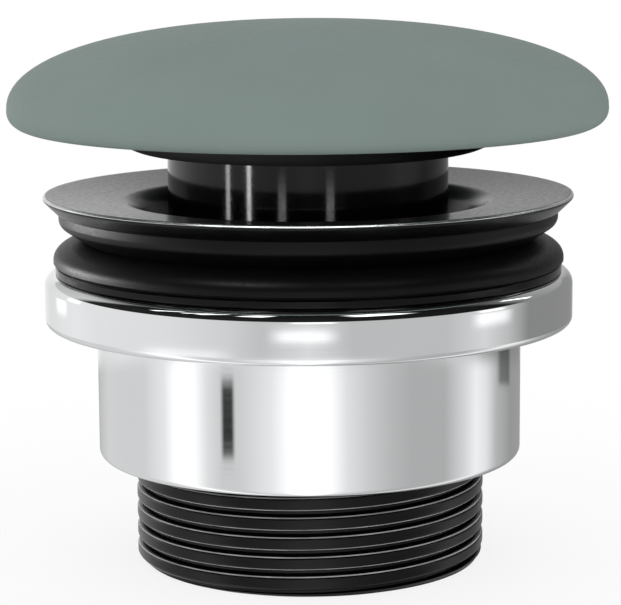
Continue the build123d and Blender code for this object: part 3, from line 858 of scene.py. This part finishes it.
class WASTE_OT_click_cartridge(bpy.types.Operator):
    """Finishes of the pieces inside, which keep the frame's own shapes"""

    bl_idname = "waste.click_cartridge"
    bl_label = "Click cartridge"

    def execute(self, context):
        finishes = context.scene.waste_finishes
        groups = (
            (turned_brass(finishes), ("cap_insert", "click_plunger")),
            (stainless_steel(finishes), ("lock_nut", "drum_clip", "guide_pins", "return_spring")),
            (natural_acetal(finishes), ("cam_drum",)),
            (
                grey_polypropylene(finishes),
                ("cartridge_housing", "guide_cap", "cartridge_base", "cartridge_nut"),
            ),
            (moulded_rubber(finishes), ("rod_seal",)),
        )
        for material, nodes in groups:
            for node in nodes:
                for material_slot in frame["nodes"][node].material_slots:
                    material_slot.material = material
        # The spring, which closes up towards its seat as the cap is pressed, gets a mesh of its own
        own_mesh(frame["nodes"]["return_spring"])
        return {"FINISHED"}


# Share at full level of a strip's half width, and of its half height where it ends clean or fades
FULL_WIDTH = 0.4
CLEAN_END = 0.8
SOFT_END = 0.1


class Strip(NamedTuple):
    """Upright strip light: its angle round from the camera, half its width, its reach, level and ends."""

    angle: float
    half_width: float
    low: float
    high: float
    level: float
    full: float = CLEAN_END


# What shiny pieces see of the studio, by the angle round from the camera in degrees, minus to
# the left. The camera looks down, so upright walls mirror low directions, and the sleeve, the
# collar and the black pieces above them each see a ring of their own, given as angle and level
SLEEVE_RING = (
    (-180, 0.40), (-140, 0.77), (-100, 0.78), (-84, 1.00), (-75, 1.40), (-66, 1.40),
    (-56, 0.92), (-48, 0.76), (-38, 0.76), (-20, 1.02), (-10, 1.35), (10, 1.35),
    (20, 0.94), (32, 0.74), (44, 0.60), (56, 0.52), (77, 0.52), (92, 0.85),
    (101, 1.10), (110, 0.96), (121, 0.56), (140, 0.37), (180, 0.36),
)
COLLAR_RING = (
    (-180, 0.80), (-172, 0.95), (-150, 0.85), (-120, 1.00), (-100, 0.95), (-60, 0.90),
    (-35, 0.80), (-20, 0.66), (0, 0.85), (18, 0.62), (60, 0.63), (80, 0.84),
    (94, 0.62), (108, 0.30), (160, 0.30), (173, 0.55), (180, 0.80),
)
UPPER_RING = (
    (-180, 0.50), (-125, 0.70), (-114, 0.02), (98, 0.01), (112, 0.30), (180, 0.50),
)

# White panels and strips that add their light to the rings
PANELS = (
    Strip(-120, 7.0, -4, 11, 0.9),
    Strip(2, 12.0, -2, 13, 0.9),
    Strip(84, 10.0, -4, 12, 0.7),
    Strip(-54, 26.0, -11.1, -10.0, 0.3, SOFT_END),
    Strip(-134, 8.0, -9.5, -8.2, 0.5, SOFT_END),
    Strip(-2, 17.0, -9.8, -8.3, 0.6, SOFT_END),
    Strip(85, 14.0, -9.4, -8.0, 0.6, SOFT_END),
    Strip(-86, 3.5, 40, 58, 2.5),
    Strip(-72, 3.0, 46, 64, 2.5),
    Strip(-62, 4.0, 46, 66, 2.5),
    Strip(-34, 11.0, 50, 70, 2.5),
    Strip(44, 23.0, 48, 70, 2.5),
    Strip(120, 4.0, 24, 42, 2.5),
)

# Dark flags that cut into the rings of the sleeve and the collar
FLAGS = (
    Strip(-44, 4.8, -13.4, -11.3, 0.95),
    Strip(131, 11.0, -11.5, -10.2, 0.6),
)

# Heights, as angles, where one ring goes over into the next, and half the width of the change
COLLAR_ANGLE = -10.85
COLLAR_BLEND = 0.3
UPPER_ANGLE = 14.0
UPPER_BLEND = 1.0
CEILING_ANGLES = (30, 60)

# Level of the ceiling to shiny pieces, and of the room to the rest with its change along X, Y and Z
CEILING_LIGHT = 0.01
ROOM_LIGHT = 1.06
ROOM_SLANT = (-0.08, 0.0, -0.07)

# White of the paper, the share of its shadow's reach before that fades, and the glow it keeps there
PAPER_WHITE = linear("#FAFAFA")
SHADOW_CORE = 0.2
SHADOW_GLOW = 0.82


class Lamp(NamedTuple):
    """Lamp for one black piece: its angle, its width, height and lift in millimetres, and its level.

    A matt lamp lights the piece's own colour too, and not only its shine.
    """

    piece: str
    angle: float
    width: float
    height: float
    lift: float
    level: float
    matt: bool = False


# White streaks on the stem, the line along the rim, the sheen on the lower seal's shoulder, and
# soft light on the left of the three seals
LAMPS = (
    Lamp("stem_bell", -65, 12, 20, 16, 14),
    Lamp("stem_bell", -46.5, 11, 20, 16, 24),
    Lamp("stem_bell", -20, 20, 8, 16, 5),
    Lamp("stem_bell", 17, 20, 8, 16, 5),
    Lamp("dish_flange", -8, 300, 150, 140, 6),
    Lamp("dome_seal", -42, 60, 120, 320, 30),
    Lamp("saucer_seal", -55, 120, 40, 2, 120, True),
    Lamp("cone_seal", -105, 140, 60, 10, 12, True),
    Lamp("dome_seal", -105, 140, 60, 10, 13, True),
)


def level_round(tree, share, ring):
    """Level of a ring of light at a share of the turn round the object."""
    ramp = add(tree, "ShaderNodeValToRGB", links={"Fac": share})
    stops = ramp.color_ramp.elements
    while len(stops) < len(ring):
        stops.new(1.0)
    brightest = max(level for _, level in ring)
    for stop, (angle, level) in zip(stops, ring):
        stop.position = angle / 360 + 0.5
        stop.color = (level / brightest,) * 3 + (1.0,)
    scaled = add(tree, "ShaderNodeMath", {1: brightest}, {0: ramp.outputs["Color"]}, operation="MULTIPLY")
    return scaled.outputs[0]


def window(tree, turn, height, strip):
    """One inside a strip's outline and nothing outside it, with soft edges."""
    off = add(tree, "ShaderNodeMath", {1: radians(strip.angle)}, {0: turn}, operation="SUBTRACT")
    aside = add(tree, "ShaderNodeMath", links={0: off.outputs[0]}, operation="ABSOLUTE")
    half = radians(strip.half_width)
    soft = {"interpolation_type": "SMOOTHSTEP"}
    limits = {"From Min": half, "From Max": half * FULL_WIDTH}
    across = add(tree, "ShaderNodeMapRange", limits, {"Value": aside.outputs[0]}, **soft)
    middle = sin(radians((strip.low + strip.high) / 2))
    reach = sin(radians(strip.high)) - middle
    lift = add(tree, "ShaderNodeMath", {1: middle}, {0: height}, operation="SUBTRACT")
    above = add(tree, "ShaderNodeMath", links={0: lift.outputs[0]}, operation="ABSOLUTE")
    limits = {"From Min": reach, "From Max": reach * strip.full}
    along = add(tree, "ShaderNodeMapRange", limits, {"Value": above.outputs[0]}, **soft)
    links = {0: across.outputs["Result"], 1: along.outputs["Result"]}
    return add(tree, "ShaderNodeMath", links=links, operation="MULTIPLY").outputs[0]


def blend(tree, height, low, high, below, above):
    """Value that goes from one to the other over a band of heights, given as angles."""
    step = add(
        tree,
        "ShaderNodeMapRange",
        {"From Min": sin(radians(low)), "From Max": sin(radians(high))},
        {"Value": height},
        interpolation_type="SMOOTHSTEP",
    )
    mix = add(tree, "ShaderNodeMix", links={"Factor": step.outputs["Result"], "A": below}, data_type="FLOAT")
    if isinstance(above, float):
        mix.inputs["B"].default_value = above
    else:
        tree.links.new(above, mix.inputs["B"])
    return mix.outputs["Result"]


def studio_world(scene):
    """World that is white to the camera, a lit studio to shiny pieces and soft room light to the rest."""
    world = bpy.data.worlds.new("studio")
    scene.world = world
    tree = empty_tree(world)
    direction = add(tree, "ShaderNodeTexCoord").outputs["Generated"]
    axes = add(tree, "ShaderNodeSeparateXYZ", links={"Vector": direction}).outputs
    forward = add(tree, "ShaderNodeMath", {1: -1.0}, {0: axes["Y"]}, operation="MULTIPLY").outputs[0]
    turn = add(tree, "ShaderNodeMath", links={0: axes["X"], 1: forward}, operation="ARCTAN2").outputs[0]
    limits = {"From Min": -pi, "From Max": pi}
    share = add(tree, "ShaderNodeMapRange", limits, {"Value": turn}).outputs["Result"]
    level = level_round(tree, share, SLEEVE_RING)
    collar_level = level_round(tree, share, COLLAR_RING)
    low, high = COLLAR_ANGLE - COLLAR_BLEND, COLLAR_ANGLE + COLLAR_BLEND
    level = blend(tree, axes["Z"], low, high, level, collar_level)
    for flag in FLAGS:
        shape = window(tree, turn, axes["Z"], flag)
        lit = add(tree, "ShaderNodeMath", {1: -flag.level, 2: 1.0}, {0: shape}, operation="MULTIPLY_ADD")
        dimmed = add(tree, "ShaderNodeMath", links={0: level, 1: lit.outputs[0]}, operation="MULTIPLY")
        level = dimmed.outputs[0]
    upper_level = level_round(tree, share, UPPER_RING)
    low, high = UPPER_ANGLE - UPPER_BLEND, UPPER_ANGLE + UPPER_BLEND
    level = blend(tree, axes["Z"], low, high, level, upper_level)
    level = blend(tree, axes["Z"], *CEILING_ANGLES, level, CEILING_LIGHT)
    for strip in PANELS:
        shape = window(tree, turn, axes["Z"], strip)
        glow = add(tree, "ShaderNodeMath", {1: strip.level}, {0: shape}, operation="MULTIPLY").outputs[0]
        level = add(tree, "ShaderNodeMath", links={0: level, 1: glow}, operation="ADD").outputs[0]
    mirrored = add(tree, "ShaderNodeBackground", {"Color": WHITE}, {"Strength": level})
    slant = add(tree, "ShaderNodeVectorMath", {1: ROOM_SLANT}, {0: direction}, operation="DOT_PRODUCT")
    soft = add(tree, "ShaderNodeMath", {1: ROOM_LIGHT}, {0: slant.outputs["Value"]}, operation="ADD")
    room = add(tree, "ShaderNodeBackground", {"Color": WHITE}, {"Strength": soft.outputs[0]})
    white = add(tree, "ShaderNodeBackground", {"Color": WHITE, "Strength": 1.0})
    path = add(tree, "ShaderNodeLightPath").outputs
    shiny = add(
        tree,
        "ShaderNodeMixShader",
        links={0: path["Is Glossy Ray"], 1: room.outputs["Background"], 2: mirrored.outputs["Background"]},
    )
    seen = add(
        tree,
        "ShaderNodeMixShader",
        links={0: path["Is Camera Ray"], 1: shiny.outputs["Shader"], 2: white.outputs["Background"]},
    )
    add(tree, "ShaderNodeOutputWorld", links={"Surface": seen.outputs["Shader"]})


def strip_lamps(studio):
    """Lamps round the table, each linked to its black piece."""
    for number, lamp in enumerate(LAMPS):
        receivers = bpy.data.collections.new(f"lit_by_lamp_{number}")
        receivers.objects.link(bpy.data.objects[lamp.piece])
        light = bpy.data.lights.new(f"strip_lamp_{number}", "AREA")
        light.shape = "RECTANGLE"
        light.size = lamp.width * MM
        light.size_y = lamp.height * MM
        light.energy = lamp.level * pi * light.size * light.size_y
        stand = put(light.name, light)
        turn = radians(lamp.angle)
        inwards = Vector((-sin(turn), cos(turn), 0))
        facing = inwards.to_track_quat("-Z", "Y").to_matrix().to_4x4()
        height = lamp.lift * MM + light.size_y / 2
        where = Vector((0, 0, height)) - inwards * studio.lamp_distance
        stand.matrix_world = Matrix.Translation(where) @ facing
        stand.visible_camera = False
        stand.visible_diffuse = lamp.matt
        stand.light_linking.receiver_collection = receivers
        stand.light_linking.blocker_collection = receivers


def paper_floor(studio):
    """White paper that keeps a soft shadow near the object and lets mirrors see the studio."""
    material = bpy.data.materials.new("white_paper")
    tree = empty_tree(material)
    at = add(tree, "ShaderNodeTexCoord").outputs["Object"]
    away = add(tree, "ShaderNodeVectorMath", links={0: at}, operation="LENGTH")
    reach = studio.shadow_reach
    fade = add(
        tree,
        "ShaderNodeMapRange",
        {"From Min": SHADOW_CORE * reach, "From Max": reach, "To Min": SHADOW_GLOW},
        {"Value": away.outputs["Value"]},
        interpolation_type="SMOOTHSTEP",
    )
    paper = add(tree, "ShaderNodeBsdfDiffuse", {"Color": PAPER_WHITE})
    white = add(tree, "ShaderNodeEmission", {"Color": WHITE, "Strength": 1.0})
    seen = add(
        tree,
        "ShaderNodeMixShader",
        links={0: fade.outputs["Result"], 1: paper.outputs["BSDF"], 2: white.outputs["Emission"]},
    )
    path = add(tree, "ShaderNodeLightPath").outputs
    to_camera = add(
        tree,
        "ShaderNodeMixShader",
        links={0: path["Is Camera Ray"], 1: paper.outputs["BSDF"], 2: seen.outputs["Shader"]},
    )
    clear = add(tree, "ShaderNodeBsdfTransparent")
    mirrored = add(
        tree,
        "ShaderNodeMath",
        links={0: path["Is Glossy Ray"], 1: path["Is Transmission Ray"]},
        operation="MAXIMUM",
    )
    shown = add(
        tree,
        "ShaderNodeMixShader",
        links={0: mirrored.outputs["Value"], 1: to_camera.outputs["Shader"], 2: clear.outputs["BSDF"]},
    )
    add(tree, "ShaderNodeOutputMaterial", links={"Surface": shown.outputs["Shader"]})
    return material


class WASTE_OT_studio(bpy.types.Operator):
    """White floor, studio light and the camera at the photograph's angle"""

    bl_idname = "waste.studio"
    bl_label = "Studio"

    def execute(self, context):
        scene = context.scene
        studio = scene.waste_studio
        scene.view_settings.view_transform = "Standard"
        studio_world(scene)
        strip_lamps(studio)
        bm = bmesh.new()
        bmesh.ops.create_grid(bm, x_segments=1, y_segments=1, size=studio.floor_size / 2)
        mesh = mesh_from("floor", bm)
        mesh.materials.append(paper_floor(studio))
        floor = put("floor", mesh)
        lens = bpy.data.cameras.new("camera")
        lens.lens = studio.focal_pixels / IMAGE_WIDTH * lens.sensor_width
        lens.clip_start = NEAR_CLIP
        camera = put("camera", lens)
        where = Matrix.Translation((studio.camera_side, -studio.camera_back, studio.camera_height))
        tilt = Matrix.Rotation(pi / 2 - studio.pitch, 4, "X")
        camera.matrix_world = where @ tilt @ Matrix.Rotation(studio.roll, 4, "Z")
        scene.camera = camera
        return {"FINISHED"}


OPERATORS = (
    WASTE_OT_glazed_cap,
    WASTE_OT_saucer_seal,
    WASTE_OT_stem_bell,
    WASTE_OT_dish_flange,
    WASTE_OT_basin_seals,
    WASTE_OT_chrome_collar,
    WASTE_OT_threaded_tail,
    WASTE_OT_click_cartridge,
    WASTE_OT_studio,
)


class WASTE_PT_pieces(bpy.types.Panel):
    """Lists the pieces and the studio"""

    bl_label = "Basin waste"
    bl_space_type = "VIEW_3D"
    bl_region_type = "UI"
    bl_category = "Waste"

    def draw(self, context):
        for operator in OPERATORS:
            self.layout.operator(operator.bl_idname)
        for group in (context.scene.waste_sizes, context.scene.waste_finishes, context.scene.waste_studio):
            box = self.layout.box()
            for name in group.__annotations__:
                box.prop(group, name)


GROUPS = {
    "waste_sizes": WasteSizes,
    "waste_finishes": WasteFinishes,
    "waste_studio": WasteStudio,
}


def register():
    for cls in (*GROUPS.values(), *OPERATORS, WASTE_PT_pieces):
        bpy.utils.register_class(cls)
    for name, group in GROUPS.items():
        setattr(bpy.types.Scene, name, bpy.props.PointerProperty(type=group))


def unregister():
    for name in GROUPS:
        delattr(bpy.types.Scene, name)
    for cls in (WASTE_PT_pieces, *reversed(OPERATORS), *reversed(tuple(GROUPS.values()))):
        bpy.utils.unregister_class(cls)


def main():
    register()
    for operator in OPERATORS:
        getattr(bpy.ops.waste, operator.bl_idname.split(".")[1])()


if __name__ == "__main__":
    main()
